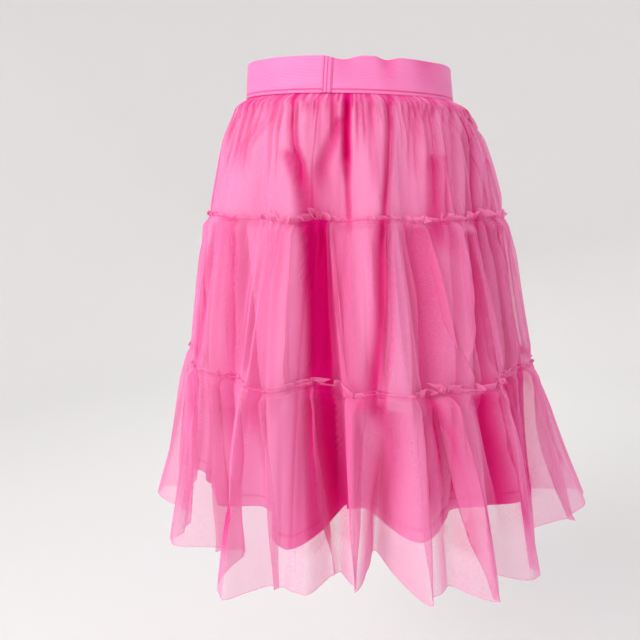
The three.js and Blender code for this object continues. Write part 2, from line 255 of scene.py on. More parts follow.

# Main creases of the lining: path as angles and levels by turns, depth, half width, skew, depth of painted
# shade.
# A skew near 1 makes a fold's edge, sharp on the left with a long slope on the right, and near -1 the reverse
liningCreases = (
    ((-50, -21, -50.5, -46, -60, -78), 4.5, 4.5, -.3, .35),
    ((-38.8, -21, -37, -40, -34, -77, -31, -96), 7, 3.4, .6, .9),
    ((-36, -84, -33, -100, -29, -120, -27, -150), 8.5, 8, .3, .65),
    ((-4, -21, -5, -67, -5, -84), 11, 4.6, -.2, 1),
    ((-5, -105, -4.5, -146), 5, 2.8, -.3, .5),
    ((23, -22, 18.3, -80, 15, -134, 13.5, -160), 7, 3.6, -.5, .8),
    ((37, -22, 33, -50, 31, -83), 4, 3.2, .2, .3),
    ((50, -22, 43, -45, 41, -78), 6, 4, -.3, .7),
    ((40.5, -90, 39.3, -128, 37.7, -165), 7, 8, 0, .75),
    ((60, -22, 53.3, -52, 50, -90, 46, -140), 5.5, 4, .4, .65),
    ((77, -26, 69, -50, 64.6, -69, 60, -117, 57.8, -165), 10, 5.5, .3, 1),
    ((84, -40, 78, -70, 71, -101, 66, -160), 6, 4, .6, .7),
    ((-72, -19, -70.5, -46, -68, -75), 4.5, 3.4, -.3, .6),
    ((-62, -19, -60, -42, -62, -70), 3.4, 3.2, 0, .35),
    ((-83, -22, -84, -70, -86, -150), 4.5, 6, -.5, .35),
    ((9, -21, 8, -60, 9.5, -100), 2.8, 4, 0, .22),
    ((-10, -50, -15.6, -75, -21, -100), 5, 6.5, .3, .5),
    ((-14, -21, -13, -42), 3, 3, .2, .45),
    ((-46, -21, -45, -40), 3.4, 2.8, -.2, .45),
    ((2, -21, 2.5, -38), 2.6, 2.4, 0, .35),
    ((31, -21, 30, -40), 3, 2.6, .2, .4),
    ((-28, -158, -26.5, -184, -24.5, -227, -23, -274, -22, -340, -21, -400, -18, -512), 13, 9.5, .8, 1),
    ((-17, -158, -18.2, -186, -17, -249, -14.8, -308, -12.5, -365, -12.5, -512), 13, 7, -.8, 1),
    ((-57.6, -160, -54.4, -230, -52.2, -297, -51, -367, -46, -430, -40, -480), 9, 10, -.85, .5),
    ((-50, -385, -46, -430, -41, -475, -38, -520), 20, 11, -.5, .4),
    ((-90, -170, -82.7, -260, -74, -376, -72, -474, -72, -520), 12, 12, -.85, .5),
    ((-69, -170, -66, -260, -66, -380), 3.5, 9, .3, .25),
    ((-40, -170, -38, -260, -37, -360), 4, 9, .5, .3),
    ((14, -160, 13, -191, 10.5, -274, 8.5, -313, 6, -353), 10, 6.5, -.85, .9),
    ((22.2, -165, 23.4, -238, 22.1, -276, 19.1, -352), 6, 14, .85, .5),
    ((46.4, -175, 44, -203, 40.4, -274, 39.2, -352), 6, 9, .85, .55),
    ((56, -165, 56.4, -194, 52.4, -305, 51, -355), 10, 7.5, .85, 1),
    ((66, -170, 67, -207, 66, -275, 64, -350), 8, 7.5, .85, .8),
    ((-3, -345, -5, -400, -8, -470), 6, 7, 0, .55),
    ((8, -360, 8, -420, 5, -480), 4, 8, .4, .35),
    ((21.7, -350, 23.6, -408, 22.6, -470), 14, 12, .85, 1),
    ((38, -350, 41, -420, 44, -480), 8, 8, 0, .85),
    ((52.5, -345, 56.5, -438, 57.5, -515), 9, 9, .85, 1),
    ((63.3, -350, 64.7, -426, 65.4, -497), 9, 9, .85, .95),
    ((77, -340, 78, -420, 80, -470), 7, 8, .85, .6),
    ((97, -26, 99, -80, 98, -150), 6, 5.5, .2, .5),
    ((118, -26, 121, -80, 123, -200), 8, 6, -.3, .8),
    ((140, -26, 143, -60, 142, -110), 5, 5, .3, .45),
    ((158, -26, 160, -90, 159, -240), 9, 6.5, .2, .9),
    ((176, -26, 173, -55, 174, -90), 4, 4.5, 0, .35),
    ((194, -26, 197, -90, 196, -260), 8, 6, -.2, .8),
    ((214, -26, 212, -60, 214, -110), 5, 5, .3, .45),
    ((232, -26, 235, -90, 238, -260), 8, 6.5, 0, .8),
    ((253, -26, 256, -80, 254, -150), 6, 5, -.2, .55),
    ((108, -170, 107, -260, 108, -350), 8, 8, -.8, .6),
    ((126, -330, 124, -420, 123, -500), 12, 9, .8, .95),
    ((143, -180, 141, -260, 142, -350), 7, 8, .8, .55),
    ((176, -180, 177, -260, 175, -350), 7, 7, -.8, .55),
    ((160, -340, 159, -420, 158, -500), 12, 9, -.8, .9),
    ((214, -180, 215, -260, 216, -350), 7, 8, .8, .55),
    ((197, -350, 196, -430, 196, -500), 10, 9, .8, .85),
    ((238, -340, 237, -420, 237, -500), 10, 9, -.8, .85),
)

# Gathers under the band: seed, count, top level, depths, half widths, lengths, lean, depth of painted shade
bandGatherKinds = (
    (11, 84, -20, (1.6, 4.2), (1.5, 2.6), (10, 36), 3, 0.4),
    (12, 96, -19, (0.9, 2.0), (0.9, 1.4), (4, 11), 1, 0.7),
)
bandGathers = [gather for kind in bandGatherKinds for gather in scatteredGathers(*kind)]

puffOut = {"start": -19.5, "length": 14, "curve": 2.2}


def pinned(angle, level, reach, inside):
    # Under the band the cloth lies flat against its inner face, and from its foot it puffs out at once
    flat = bandReach(angle, 0) - inside
    fallen = np.clip((puffOut["start"] - level) / puffOut["length"], 0, 1)
    return flat + (reach - flat) * (1 - (1 - fallen) ** puffOut["curve"])


def liningSurface(angle, level):
    # The lining's reach, and its painted shade, which is darkest in its creases and valleys
    flat = layerReach(liningSections, liningHemFolds, angle, level)
    relief, paintedShade = creased(liningCreases, angle, level, flat)
    small, gatherPaintedShade = creased(bandGathers, angle, level, flat)
    waves = softNoise(angle, level, *lining["waves"])
    waves = waves * ease((lining["waveStart"] - level) / lining["waveGrow"])
    inside = band["wall"] / 2 + seamGap + lining["wall"] + clothGap
    reach = pinned(angle, level, flat + relief + small + waves, inside)
    section = sectionAt(liningSections, level)
    # Painted shade in the valleys of the body folds
    valley = (section["body"] + section["hem"]) * foldValue(bodyFolds, angle) / bodyFolds["deep"].min()
    hollow = np.clip(valley, 0, 1)
    return reach, 1 - (1 - paintedShade) * (1 - gatherPaintedShade) * (1 - lining["hollowShade"] * hollow)


def liningDrop(angle, level):
    # The hem hangs unevenly, and rises where the lobe at the left folds in
    side, lift = turned(angle), lining["lift"]
    lifted = ease((lift["from"] - side) / lift["rise"]) * ease((side - lift["to"]) / lift["fall"])
    drop = softNoise(angle, 0, *lining["hang"]) - lift["height"] * lifted
    return drop * ease((lining["hangStart"] - level) / lining["hangGrow"])


# The two seams run a little up and down: a wave, and dips as angle, spread and drop
seamRuns = {
    "height": 1.6, "waves": (5, 9, 13, 17), "reach": 45,
    "seams": ((seamOne, 31, ((-30, 8, -2), (33, 9, -2))), (seamTwo, 32, ((-5, 4.5, -7), (24, 8, -3)))),
}


def seamShift(angle, level):
    shift = 0
    for seam, seed, dips in seamRuns["seams"]:
        wave = softNoise(angle, 0, seamRuns["height"], seed, seamRuns["waves"])
        for middle, spread, drop in dips:
            wave = wave + drop * bell(turned(angle - middle), spread)
        shift = shift + wave * bell(level - seam, seamRuns["reach"])
    return shift


def deselect():
    bpy.ops.object.select_all(action="DESELECT")


def added(name, data):
    made = bpy.data.objects.new(name, data)
    bpy.context.scene.collection.objects.link(made)
    return made


def marked(mesh, mark, values):
    mesh.attributes.new(mark, "FLOAT", "POINT").data.foreach_set("value", values.astype(np.float32))


def plainGrid(name, columns, rows):
    # A flat grid, and how far across and down it each point lies, from 0 to 1
    deselect()
    bpy.ops.mesh.primitive_grid_add(x_subdivisions=columns, y_subdivisions=rows, size=1, location=(0, 0, 0))
    piece = bpy.context.object
    piece.name = piece.data.name = name
    flat = np.empty(len(piece.data.vertices) * 3)
    piece.data.vertices.foreach_get("co", flat)
    flat = flat.reshape(-1, 3)
    return piece, flat[:, 0] + 0.5, 0.5 - flat[:, 1]


def wrappedGrid(name, columns, rows, place):
    # A grid wrapped round the skirt, with its UV map in metres of cloth. The place function gives the points
    # and the marks for each, such as its painted shade, which the materials read
    piece, across, down = plainGrid(name, columns, rows)
    mesh = piece.data
    column = np.rint(across * columns).astype(int)
    row = np.rint(down * rows).astype(int)
    points, marks = place(*np.meshgrid(np.arange(columns + 1) / columns, np.arange(rows + 1) / rows))
    for mark, values in marks.items():
        marked(mesh, mark, values[row, column])
    mesh.vertices.foreach_set("co", points[row, column].ravel())
    middle = points[rows // 2]
    acrossCloth = np.append(0, np.cumsum(np.linalg.norm(np.diff(middle, axis=0), axis=1)))
    downCloth = np.append(0, np.cumsum(np.linalg.norm(np.diff(points, axis=0), axis=2).mean(1)))
    corner = np.empty(len(mesh.loops), int)
    mesh.loops.foreach_get("vertex_index", corner)
    uv = np.stack((acrossCloth[column], -downCloth[row]), 1)[corner]
    mesh.uv_layers[0].data.foreach_set("uv", uv.ravel())
    bpy.ops.object.mode_set(mode="EDIT")
    bpy.ops.mesh.select_all(action="SELECT")
    bpy.ops.mesh.remove_doubles(threshold=1e-6)
    bpy.ops.object.mode_set(mode="OBJECT")
    bpy.ops.object.shade_smooth()
    return piece


def applied(piece, kind, **settings):
    deselect()
    piece.select_set(True)
    bpy.context.view_layer.objects.active = piece
    modifier = piece.modifiers.new(kind.title(), kind)
    for name, value in settings.items():
        setattr(modifier, name, value)
    bpy.ops.object.modifier_apply(modifier=modifier.name)
    return piece


def rounded(piece, width, segments):
    return applied(piece, "BEVEL", width=width, segments=segments, limit_method="ANGLE", angle_limit=0.9)


class Wire:
    # A socket's value, for maths written as expressions
    def __init__(self, paint, socket):
        self.paint, self.socket = paint, socket

    def maths(self, operation, *values):
        return self.paint.node("ShaderNodeMath", {"operation": operation}, dict(enumerate(values)))

    def atLeast(self, other):
        return self.maths("MAXIMUM", self, other)

    def atMost(self, other):
        return self.maths("MINIMUM", self, other)

    def cosine(self):
        return self.maths("COSINE", self)


def wireMethod(operation, swapped):
    def method(wire, other):
        return wire.maths(operation, *((other, wire) if swapped else (wire, other)))

    return method


wireMaths = {"add": "ADD", "sub": "SUBTRACT", "mul": "MULTIPLY", "truediv": "DIVIDE", "pow": "POWER"}
for name, operation in wireMaths.items():
    setattr(Wire, f"__{name}__", wireMethod(operation, False))
    setattr(Wire, f"__r{name}__", wireMethod(operation, True))


class Paint:
    # A material on one Principled shader
    def __init__(self, name):
        self.material = bpy.data.materials.new(name)
        self.material.use_nodes = True
        self.tree = self.material.node_tree
        self.shader = next(n for n in self.tree.nodes if n.type == "BSDF_PRINCIPLED")

    def plug(self, value, socket):
        if isinstance(value, Wire):
            self.tree.links.new(value.socket, socket)
        else:
            socket.default_value = value

    def node(self, kind, settings=None, values=None, output=0):
        made = self.tree.nodes.new(kind)
        for name, value in (settings or {}).items():
            setattr(made, name, value)
        for name, value in (values or {}).items():
            self.plug(value, made.inputs[name])
        return Wire(self, made.outputs[output])

    def finish(self, values):
        for name, value in values.items():
            self.plug(value, self.shader.inputs[name])
        return self.material

    def clothMap(self):
        place = self.node("ShaderNodeTexCoord", output="UV")
        return [self.node("ShaderNodeSeparateXYZ", None, {0: place}, side) for side in ("X", "Y")]

    def attribute(self, name):
        return self.node("ShaderNodeAttribute", {"attribute_name": name}, None, "Fac")

    def noise(self, scale, detail, roughness=0.5):
        place = self.node("ShaderNodeTexCoord", output="Object")
        settings = {0: place, "Scale": scale, "Detail": detail, "Roughness": roughness}
        return self.node("ShaderNodeTexNoise", None, settings, "Fac")

    def speckle(self, strength, scale, detail):
        return strength * (self.noise(scale, detail) - 0.5)

    def blend(self, factor, first, second):
        return self.node("ShaderNodeMix", {"data_type": "RGBA"}, {0: factor, 6: first, 7: second}, 2)

    def bump(self, height, distance, strength):
        settings = {"Height": height, "Distance": distance, "Strength": strength}
        return self.node("ShaderNodeBump", None, settings)

    def sheen(self, look):
        weight, roughness, tint = look["sheen"]
        return {"Sheen Weight": weight, "Sheen Roughness": roughness, "Sheen Tint": tint}


# Speckles are strength, scale and detail, sheens weight, roughness and tint, and bumps distance and strength
# Light is each cloth's own colour; for the elastic, lining and tulle, deep is the colour of their painted
# shade
elasticLook = {
    "light": (0.92, 0.29, 0.58, 1), "deep": (0.82, 0.08, 0.31, 1), "roughness": 0.45, "ribRoughness": 0.18,
    "ribShade": 0.35, "mottle": (0.3, 22, 4), "bump": (0.00012, 0.7), "sheen": (0.2, 0.35, (1, 0.75, 0.9, 1)),
}
liningLook = {
    "light": (0.94, 0.43, 0.67, 1), "deep": (0.74, 0.0, 0.2, 1), "roughness": 0.5, "slubRoughness": 0.12,
    "thread": 0.45, "creaseShade": 1.08, "slubShade": 0.12, "mottle": (0.18, 9, 2), "grain": (0.14, 750, 1),
    "bump": (0.00008, 0.5), "sheen": (0.06, 0.4, (1, 0.7, 0.86, 1)),
}
tulleLook = {
    "light": (0.91, 0.3, 0.55, 1), "deep": (0.78, 0.0, 0.25, 1), "roughness": 0.75,
    "hole": 0.9, "threadCover": 0.42, "holeCover": 0.29, "threadEdge": -0.35, "steepness": 1.6,
    "narrowest": 0.14,
    "sway": (2 * mm, 45, 2), "wander": (2 * mm, 38, 2), "grain": (0.4, 650, 1),
    "sheen": (0.05, 0.4, (1, 0.8, 0.9, 1)),
}
# The thread's light and deep colours change at random along its twist
threadLook = {"light": (0.9, 0.24, 0.5, 1), "deep": (0.72, 0.1, 0.32, 1), "roughness": 0.5, "twist": 900}


def elasticPaint():
    paint, look = Paint("ribbedElastic"), elasticLook
    across, up = paint.clothMap()
    rib = 0.5 + 0.5 * (up * (math.tau / (band["ribPitch"] * mm))).cosine()
    yarn = 0.5 + 0.5 * (across * (math.tau / (band["yarn"] * mm))).cosine()
    # Painted shade from the mesh and in the grooves between the ribs, with random mottle
    paintedShade = paint.attribute("paintedShade") + look["ribShade"] * (1 - rib) + paint.speckle(*look["mottle"])
    return paint.finish({
        "Base Color": paint.blend(paintedShade.atLeast(0).atMost(1), look["light"], look["deep"]),
        "Roughness": look["roughness"] + look["ribRoughness"] * (1 - rib),
        "Normal": paint.bump(rib * 0.7 + yarn * 0.3, *look["bump"]), **paint.sheen(look),
    })


def liningPaint():
    paint, look = Paint("wovenLining"), liningLook
    across, up = paint.clothMap()
    thread = math.tau / (look["thread"] * mm)
    weave = 0.5 + 0.25 * (across * thread).cosine() + 0.25 * (up * thread).cosine()
    slub = paint.noise(60, 3, 0.6)
    mottle = paint.speckle(*look["mottle"]) + look["slubShade"] * (slub - 0.5) + paint.speckle(*look["grain"])
    # Painted shade from the mesh, deepened in creases, with random mottle, slubs and grain
    paintedShade = (paint.attribute("paintedShade") * look["creaseShade"] + mottle).atLeast(0).atMost(1)
    return paint.finish({
        "Base Color": paint.blend(paintedShade, look["light"], look["deep"]),
        "Roughness": look["roughness"] + look["slubRoughness"] * slub,
        "Normal": paint.bump(weave * 0.7 + slub * 0.3, *look["bump"]),
        "Specular IOR Level": 0.2, **paint.sheen(look),
    })


def tullePaint():
    # A fine six-sided net. Its threads close up where it is seen aslant, as a real veil's do
    paint, look = Paint("fineTulle"), tulleLook
    across, up = paint.clothMap()
    across = across + paint.speckle(*look["sway"])
    up = up + paint.speckle(*look["wander"])
    turn = math.tau / (look["hole"] * mm)
    net = (up * turn).cosine()
    for lean in (1, -1):
        net = net + (across * (turn * math.sqrt(0.75)) + up * (turn * 0.5 * lean)).cosine()
    thread = ((look["threadEdge"] - net) * look["steepness"]).atLeast(0).atMost(1)
    cover = look["holeCover"] + thread * (look["threadCover"] - look["holeCover"])
    cover = cover * (1 + paint.speckle(*look["grain"]))
    facing = paint.node("ShaderNodeLayerWeight", None, {"Blend": 0.5}, "Facing")
    slant = (1 - facing).atLeast(look["narrowest"])
    return paint.finish({
        # The colour turns deep with the painted shade marked on the mesh
        "Base Color": paint.blend(paint.attribute("paintedShade"), look["light"], look["deep"]),
        "Roughness": look["roughness"], "Specular IOR Level": 0.1,
        "Alpha": 1 - (1 - cover) ** (paint.attribute("dense") / slant), **paint.sheen(look),
    })


def threadPaint():
    paint, look = Paint("sewingThread"), threadLook
    return paint.finish({
        "Base Color": paint.blend(paint.noise(look["twist"], 2), look["deep"], look["light"]),
        "Roughness": look["roughness"],
    })


paints = {"elastic": elasticPaint(), "lining": liningPaint(), "tulle": tullePaint(), "thread": threadPaint()}
print("materials made")


def dressed(piece, paint, slotName, *nodes):
    piece.data.materials.clear()
    piece.data.materials.append(paints[paint])
    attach(piece, "root")
    if nodes:
        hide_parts(*nodes)
    return piece


def bandPoint(angle, share, out):
    # A point of the band at a share of its height, moved out from the middle of its wall
    reach = bandReach(angle, share) + out
    level = (share - 0.5) * band["height"] - dented("drop", angle, share)
    return placed(angle, reach, level, band["foot"])


def waistbandPiece():
    # The wall's section is a flat loop with round ends: down the outside, under, up the inside and over
    half = band["wall"] / 2
    flat = band["height"] - band["wall"]
    stops = np.cumsum((0, flat, math.pi * half, flat, math.pi * half))

    def place(u, v):
        angle = -90 + 360 * u
        around = np.interp(v * stops[-1], stops, (0, 0, math.pi, math.pi, math.tau))
        height = half + np.interp(v * stops[-1], stops, (flat, 0, 0, flat, flat)) - half * np.sin(around)
        share = height / band["height"]
        overStitch = height - band["stitchRise"]
        rib = band["ribDepth"] * np.cos(math.tau * height / band["ribPitch"])
        stitched = band["stitchDepth"] * bell(overStitch, band["stitchWidth"])
        pull = softNoise(angle, height, *band["pull"]) * share**2
        out = half * np.cos(around) + (rib - stitched) * np.sign(np.cos(around)) - pull
        # Painted shade in the dents of the top edge and along the sunk stitch line
        shade = band["dentShade"] * dented("depth", angle, 1) * share
        shade = shade + band["stitchShade"] * bell(overStitch, band["shadeWidth"])
        return bandPoint(angle, share, out), {"paintedShade": np.clip(shade, 0, 1)}

    piece = wrappedGrid("elasticBand", band["columns"], band["rows"], place)
    return dressed(piece, "elastic", "elastic", "waistband")


# The join, from its first to its last angle, with three lines sewn down it
join = {
    "first": -20.4, "last": -14.2, "lean": 1.4, "wall": 0.9, "margin": 0.01, "columns": 60, "rows": 80,
    "lines": (0.1, 0.48, 0.9), "lineWidth": 0.07, "lineDepth": 0.4, "lineShade": 0.9, "soft": 0.3,
}


def joinAngle(u, share):
    return join["first"] + (join["last"] - join["first"]) * u + join["lean"] * (share - 0.5)


def joinPiece():
    # A small flat piece on the band, thickened outwards and inwards, with soft edges
    piece, across, down = plainGrid("waistbandJoin", join["columns"], join["rows"])
    lines = sum(bell(across - line, join["lineWidth"]) for line in join["lines"])
    share = join["margin"] + (1 - 2 * join["margin"]) * (1 - down)
    out = band["wall"] / 2 + seamGap + join["wall"] / 2 - join["lineDepth"] * lines
    points = bandPoint(joinAngle(across, share), share, out)
    piece.data.vertices.foreach_set("co", points.ravel())
    # Painted shade along the three sunk sewn lines
    marked(piece.data, "paintedShade", np.clip(join["lineShade"] * lines, 0, 1))
    applied(piece, "SOLIDIFY", thickness=join["wall"] * mm, offset=0)
    rounded(piece, join["soft"] * mm, 2)
    bpy.ops.object.shade_smooth()
    return dressed(piece, "elastic", "elastic", "waistband_join")


# Each kind of stitch: from one to the next, length, thickness, how far it is raised over its cloth
stitchForm = {"sides": 6, "round": 0.2, "dip": 0.6}
stitchKinds = {"band": (3.0, 2.5, 0.5, -0.05), "join": (2.4, 2.0, 0.45, -0.12),
               "hem": (3.2, 2.6, 0.4, 0.05), "seam": (3.0, 2.6, 0.45, 0.35)}


def stitchShape(length, thickness):
    # One stitch: a short thread with round ends, dipping into the cloth at both
    deselect()
    lying = (0, math.pi / 2, 0)
    bpy.ops.mesh.primitive_cylinder_add(vertices=stitchForm["sides"], radius=0.5, depth=1, rotation=lying)
    stitch = bpy.context.object
    bpy.ops.object.transform_apply(rotation=True)
    bpy.ops.object.mode_set(mode="EDIT")
    bpy.ops.mesh.select_all(action="SELECT")
    bpy.ops.mesh.bisect(plane_co=(0, 0, 0), plane_no=(1, 0, 0))
    bpy.ops.object.mode_set(mode="OBJECT")
    rounded(stitch, stitchForm["round"], 1)
    applied(stitch, "TRIANGULATE")
    mesh = stitch.data
    points = np.array([v.co for v in mesh.vertices], float)
    faces = np.array([p.vertices for p in mesh.polygons], int)
    points = points * (length, thickness, thickness)
    points[:, 2] -= thickness * (2 * points[:, 0] / length) ** 2 * stitchForm["dip"]
    bpy.data.objects.remove(stitch)
    return points * mm, faces


def radialOut(line):
    out = line * (1, 1, 0)
    return out / np.linalg.norm(out, axis=-1)[..., None]


def alongLine(way, values, stops):
    return np.stack([np.interp(stops, way, values[:, k]) for k in range(3)], 1)


def stitchRun(name, line, kind, slotName):
    # Stitches one after another along a line of points, each turned to the line and lifted off the cloth
    pitch, length, thickness = stitchKinds[kind][:3]
    shape, faces = stitchShape(length, thickness)
    way = np.append(0, np.cumsum(np.linalg.norm(np.diff(line, axis=0), axis=1)))
    stops = np.arange(pitch * mm / 2, way[-1], pitch * mm)
    near = 0.3 * mm
    middle = alongLine(way, line, stops)
    ahead = alongLine(way, line, stops + near) - alongLine(way, line, stops - near)
    ahead /= np.linalg.norm(ahead, axis=1)[:, None]
    side = np.cross(alongLine(way, radialOut(line), stops), ahead)
    side /= np.linalg.norm(side, axis=1)[:, None]
    axes = np.stack((ahead, side, np.cross(ahead, side)), 1)
    points = (middle[:, None] + shape @ axes).reshape(-1, 3)
    allFaces = (faces[None] + (np.arange(len(stops)) * len(shape))[:, None, None]).reshape(-1, 3)
    mesh = bpy.data.meshes.new(name)
    mesh.from_pydata(points.tolist(), [], allFaces.tolist())
    return dressed(added(name, mesh), "thread", slotName)


def bandStitches():
    angles = np.linspace(-180, 180, 1600)
    out = band["wall"] / 2 + stitchKinds["band"][-1]
    line = bandPoint(angles, band["stitchRise"] / band["height"], out)
    return stitchRun("bandStitches", line, "band", "elastic")


def joinStitches():
    share = np.linspace(0.03, 0.97, 60)
    out = band["wall"] / 2 + seamGap + join["wall"] + stitchKinds["join"][-1]
    lines = [bandPoint(joinAngle(u, share), share, out) for u in join["lines"]]
    return [stitchRun(f"joinStitches{i + 1}", line, "join", "elastic") for i, line in enumerate(lines)]


def levelRows(rows):
    # Levels with a chosen number of rows from each to the next
    parts = [np.linspace(a[0], b[0], a[1], endpoint=False) for a, b in zip(rows, rows[1:])]
    return np.append(np.concatenate(parts), rows[-1][0])


def liningPiece():
    levels = levelRows(lining["rows"])
    turnedUp = liningHem + lining["hemTurn"]

    def place(u, v):
        angle = lining["seamAngles"][0] + 360 * u
        level = levels[np.rint(v * (len(levels) - 1)).astype(int)]
        reach, paintedShade = liningSurface(angle, level)
        seam = np.interp(-level, lining["seamFalls"], lining["seamAngles"])
        away = reach * np.radians(turned(angle - seam))
        sewn = bell(away, lining["seamWidth"]) * ease((lining["seamStart"] - level) / lining["seamGrow"])
        turnLine = bell(level - turnedUp, lining["turnWidth"])
        reach = reach - lining["seamSunk"] * sewn - lining["turnSunk"] * turnLine
        reach = reach + lining["turnOut"] * ease((turnedUp + 1 - level) / 2)
        # Painted shade along the sunk seam and along the line of the turned-up hem
        paintedShade = 1 - (1 - paintedShade) * (1 - lining["seamShade"] * sewn) * (1 - lining["turnShade"] * turnLine)
        section = sectionAt(liningSections, level)
        return placed(angle, reach, level - liningDrop(angle, level), section), {"paintedShade": paintedShade}

    piece = wrappedGrid("lining", lining["columns"], len(levels) - 1, place)
    applied(piece, "SOLIDIFY", thickness=lining["wall"] * mm, offset=0)
    bpy.ops.object.shade_smooth()
    return dressed(piece, "lining", "lining", "lining_left", "lining_right")


def liningHemStitches():
    angles = np.linspace(-180, 180, 2400)
    level = np.full_like(angles, liningHem + lining["hemTurn"])
    reach = liningSurface(angles, level)[0] + stitchKinds["hem"][-1]
    line = placed(angles, reach, level - liningDrop(angles, level), sectionAt(liningSections, level))
    return stitchRun("liningHemStitches", line, "hem", "lining")


# Folds of tulle lapped over on themselves: where each starts and ends, the half width of cloth it takes in
# there in degrees, how far it laps and stands off, and which side lies on top. It runs down the whole tier,
# or between the levels at the row's end
lapColumns = ("topAngle", "endAngle", "takesTop", "takesEnd", "lap", "stand", "side", "topLevel", "endLevel")
tierLaps = {
    "tierOne": (
        (44, 43, 3, 4.5, .5, 1.6, 1, -60), (63, 66, 3, 5, .55, 1.8, -1, -40), (82, 84, 4, 6, .55, 2, 1, -40),
        (-76, -80, 3, 5, .5, 1.6, -1, -60),
    ),
    "tierTwo": (
        (-14, -7, 4, 8, .6, 3.4, -1), (-30, -27, 3, 5, .55, 2.2, 1), (12, 5, 3, 5, .5, 2, -1),
        (31, 32, 4, 4, .6, 2.6, 1, -157, -270), (44.5, 34, 4, 6, .62, 3, 1), (52, 49, 4, 7, .62, 3, 1),
        (68, 64, 4, 6, .6, 2.6, 1), (-58, -52, 4, 7, .56, 2.2, -1), (-84, -78, 5, 7, .58, 2.4, -1),
        (104, 108, 4, 6, .6, 2.6, -1), (140, 138, 4, 7, .6, 3, 1), (184, 188, 4, 7, .6, 3, -1),
        (226, 222, 4, 7, .6, 3, 1),
    ),
    "tierThree": (
        (-3.9, -4.9, 14, 4, .68, 5, -1), (26, 30, 11, 5, .68, 6, 1), (15.6, 16.5, 4.5, 6, .6, 3, 1),
        (33.6, 37, 4, 6, .6, 2.6, 1, -345), (44.5, 49, 5, 7, .6, 3, 1), (55, 61, 4, 7, .6, 3, 1),
        (-33, -29.5, 4.5, 7, .58, 3, -1), (-20, -13, 4, 6, .58, 3, 1), (-56.5, -60, 5, 7, .6, 3, -1),
        (-70, -74, 4, 6, .6, 3, -1), (-84, -90, 5, 8, .6, 3, -1), (70, 78, 6, 9, .62, 3.4, 1),
        (100, 104, 5, 8, .6, 3, -1), (128, 126, 8, 6, .66, 4, 1), (152, 156, 5, 8, .6, 3, -1),
        (190, 186, 8, 6, .66, 4, -1), (222, 228, 5, 8, .6, 3, 1), (248, 244, 5, 8, .6, 3, -1),
    ),
}

# Valleys where the net itself falls in between its hanging folds, in the same columns as the lining's
# creases, with painted shade down them
netCreases = {
    "tierThree": (
        ((20.5, -344, 22.6, -405, 24, -440, 25.5, -505), 8, 8, .2, 1),
        ((31, -350, 30.8, -411, 32.2, -490), 6, 4.5, .2, .85),
        ((38.6, -348, 39.5, -410, 40.2, -490), 6, 5.5, .3, .85),
        ((52, -350, 58, -430, 62, -480), 4, 5, .3, .5),
    ),
}

# Where gathers are pushed together along a seam: angle, half width and how much more they stand out
bunches = {
    "tierTwo": ((-35, 10, 1.6), (-22, 5, 1.2), (33, 9, 1.4), (62, 11, 1.7), (118, 14, 1), (170, 12, 1.2),
                (236, 14, 1)),
    "tierThree": ((-19, 6, 1.5), (-5, 6, .5), (24, 8, 2), (46, 13, 1.8), (-60, 9, .7), (118, 12, 1.4),
                  (160, 14, 1.2), (215, 14, 1.4)),
}
bunchHabit = {"usual": 0.45, "waves": (0.25, 90, (6, 11, 15)), "least": 0.15, "most": 2.4}

tiers = {
    "tierOne": {
        "nodes": ("tier_1_back", "tier_1_front"), "seam": -20, "next": seamOne, "length": 137,
        "columns": 900, "rows": ((-14, 2), (-20, 18), (-60, 22), (-150, 3), (-157, 2), (-162, 0)),
        "seed": 21, "gathers": 60, "waves": (1.3, 61, (17, 23, 37, 53, 71), 0.008), "puff": 2.5,
        "cut": (1.2, 0.15), "cutArea": 0.17,
    },
    "tierTwo": {
        "nodes": ("tier_2_back", "tier_2_front"), "seam": seamOne, "next": seamTwo, "length": 183,
        "columns": 1100,
        "rows": ((-153, 3), (-157, 10), (-180, 12), (-230, 20), (-333, 4), (-340, 2), (-345, 0)),
        "seed": 22, "gathers": 104, "waves": (2.6, 62, (17, 29, 43, 59, 83), 0.008), "puff": 4.5,
        "cut": (1.6, 0.2), "cutArea": 0.3,
    },
    "tierThree": {
        "nodes": ("tier_3_back", "tier_3_front"), "seam": seamTwo, "next": None, "length": 180,
        "columns": 1200, "rows": ((-336, 3), (-340, 10), (-364, 12), (-420, 26), (-564, 2), (tulleHem, 0)),
        "seed": 23, "gathers": 116, "waves": (2.8, 63, (19, 31, 47, 61, 89), 0.008), "puff": 5,
        "cut": (2.1, 0.24), "cutArea": 0.48,
    },
}
tierGathers = ((1.2, 2.6), (2.2, 3.8), (26, 80), 3, 0.3)  # as those of the band from their depths on

# How the net drapes, with lengths in mm: below its seam, near the next one, over the lining and at its hem,
# with its painted shade, painted light on lapped folds and density
drape = {
    "gatherRise": 12, "fineShare": 0.8, "coarseShare": 0.3,
    "puffStart": 14, "puffLoss": 0.8, "puffTop": 0.1, "waveStart": 50,
    "lapStart": 4, "lapGrow": 18, "lapAtSeam": 0.15, "nextSeam": 26, "drawn": 1.2, "drawnWidth": 7,
    "clear": 3, "overHem": 8, "fallsBy": 0.7, "fallsMost": 14, "fallsHem": 90, "fallsSeam": 30,
    "underCurve": 0.8, "gatherShade": 0.5, "lapLight": 0.8, "gatherDense": 0.5, "edgeDense": 0.9,
    "edgeWidth": 1.3, "heading": 1.2, "headingOver": 4,
}
netHem = {
    "start": -480, "grow": 80, "waves": (3, 77, (8, 13, 21, 34)), "ripple": 2, "ripples": 16,
    "dip": 5, "dipAngle": 27, "dipSpread": 11,
}
lapHabit = {
    "start": 9, "grow": 15, "opens": -490, "openOver": 75, "openLess": 0.35, "openStand": 0.5,
    "inside": 0.7, "soft": 0.1, "full": 5,
}


def bunching(name, angle):
    more = bunchHabit["usual"] + softNoise(angle, 0, *bunchHabit["waves"])
    for middle, spread, strength in bunches.get(name, ()):
        more = more + strength * bell(turned(angle - middle), spread)
    return np.clip(more, bunchHabit["least"], bunchHabit["most"])


